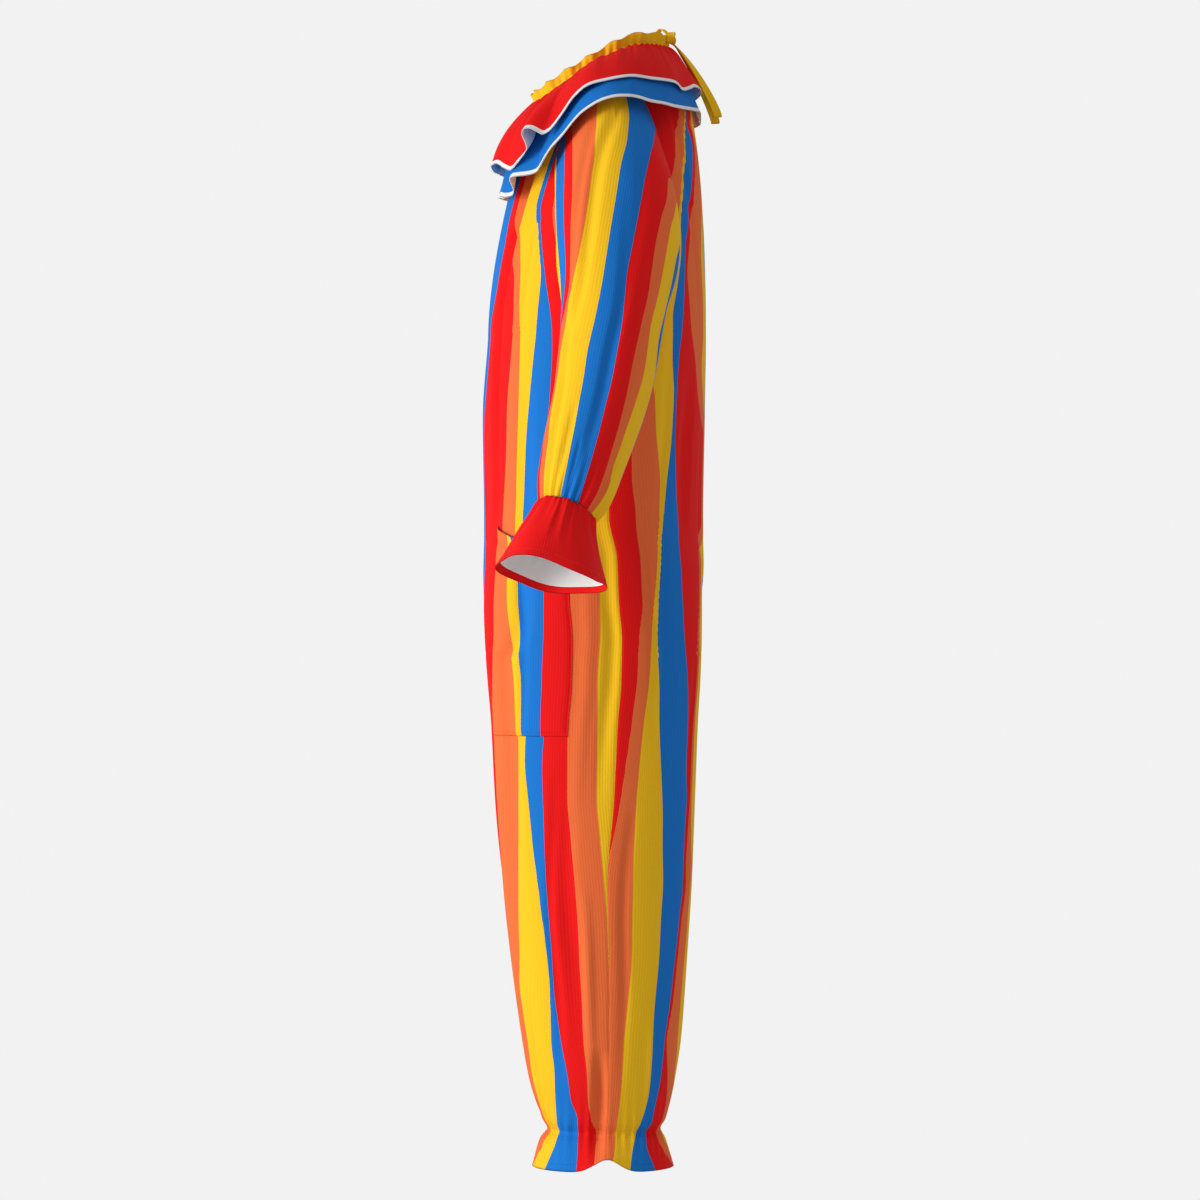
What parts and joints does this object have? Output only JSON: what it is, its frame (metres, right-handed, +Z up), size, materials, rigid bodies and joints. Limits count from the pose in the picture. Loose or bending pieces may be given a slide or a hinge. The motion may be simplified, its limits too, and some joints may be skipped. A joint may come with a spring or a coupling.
{
  "type": "clown costume",
  "caption": "Full-length striped clown costume in its worn, hollow form: long sleeves with flared cuffs, a two-tier ruffled collar, a tied neck casing, pockets and gathered ankles.",
  "frame": {"origin": "the middle of the neck opening, where the wearer's neck and shoulders carry the costume", "axes": "+Z up out of the neck, the costume's front faces -Y, the wearer's left is +X"},
  "size_m": [0.9606, 0.3019, 1.4342],
  "materials": {
    "striped_cloth": "matte, fine ribs, red, orange, yellow and blue stripes",
    "red_cloth": "matte, white underside, narrow hem",
    "blue_cloth": "matte, white underside, narrow hem",
    "yellow_cloth": "matte"
  },
  "bodies": {
    "root": {"back_left": "striped_cloth", "back_right": "striped_cloth", "collar_lower": "blue_cloth", "collar_upper": "red_cloth", "cuff_left": "red_cloth", "cuff_right": "red_cloth", "front_left": "striped_cloth", "front_right": "striped_cloth", "neck_casing": "yellow_cloth", "pocket_left": "striped_cloth", "pocket_right": "striped_cloth", "sleeve_left": "striped_cloth", "sleeve_right": "striped_cloth", "tie_knot": "yellow_cloth", "tie_loop_left": "yellow_cloth", "tie_loop_right": "yellow_cloth", "tie_tail_left": "yellow_cloth", "tie_tail_right": "yellow_cloth"}
  },
  "joints": []
}
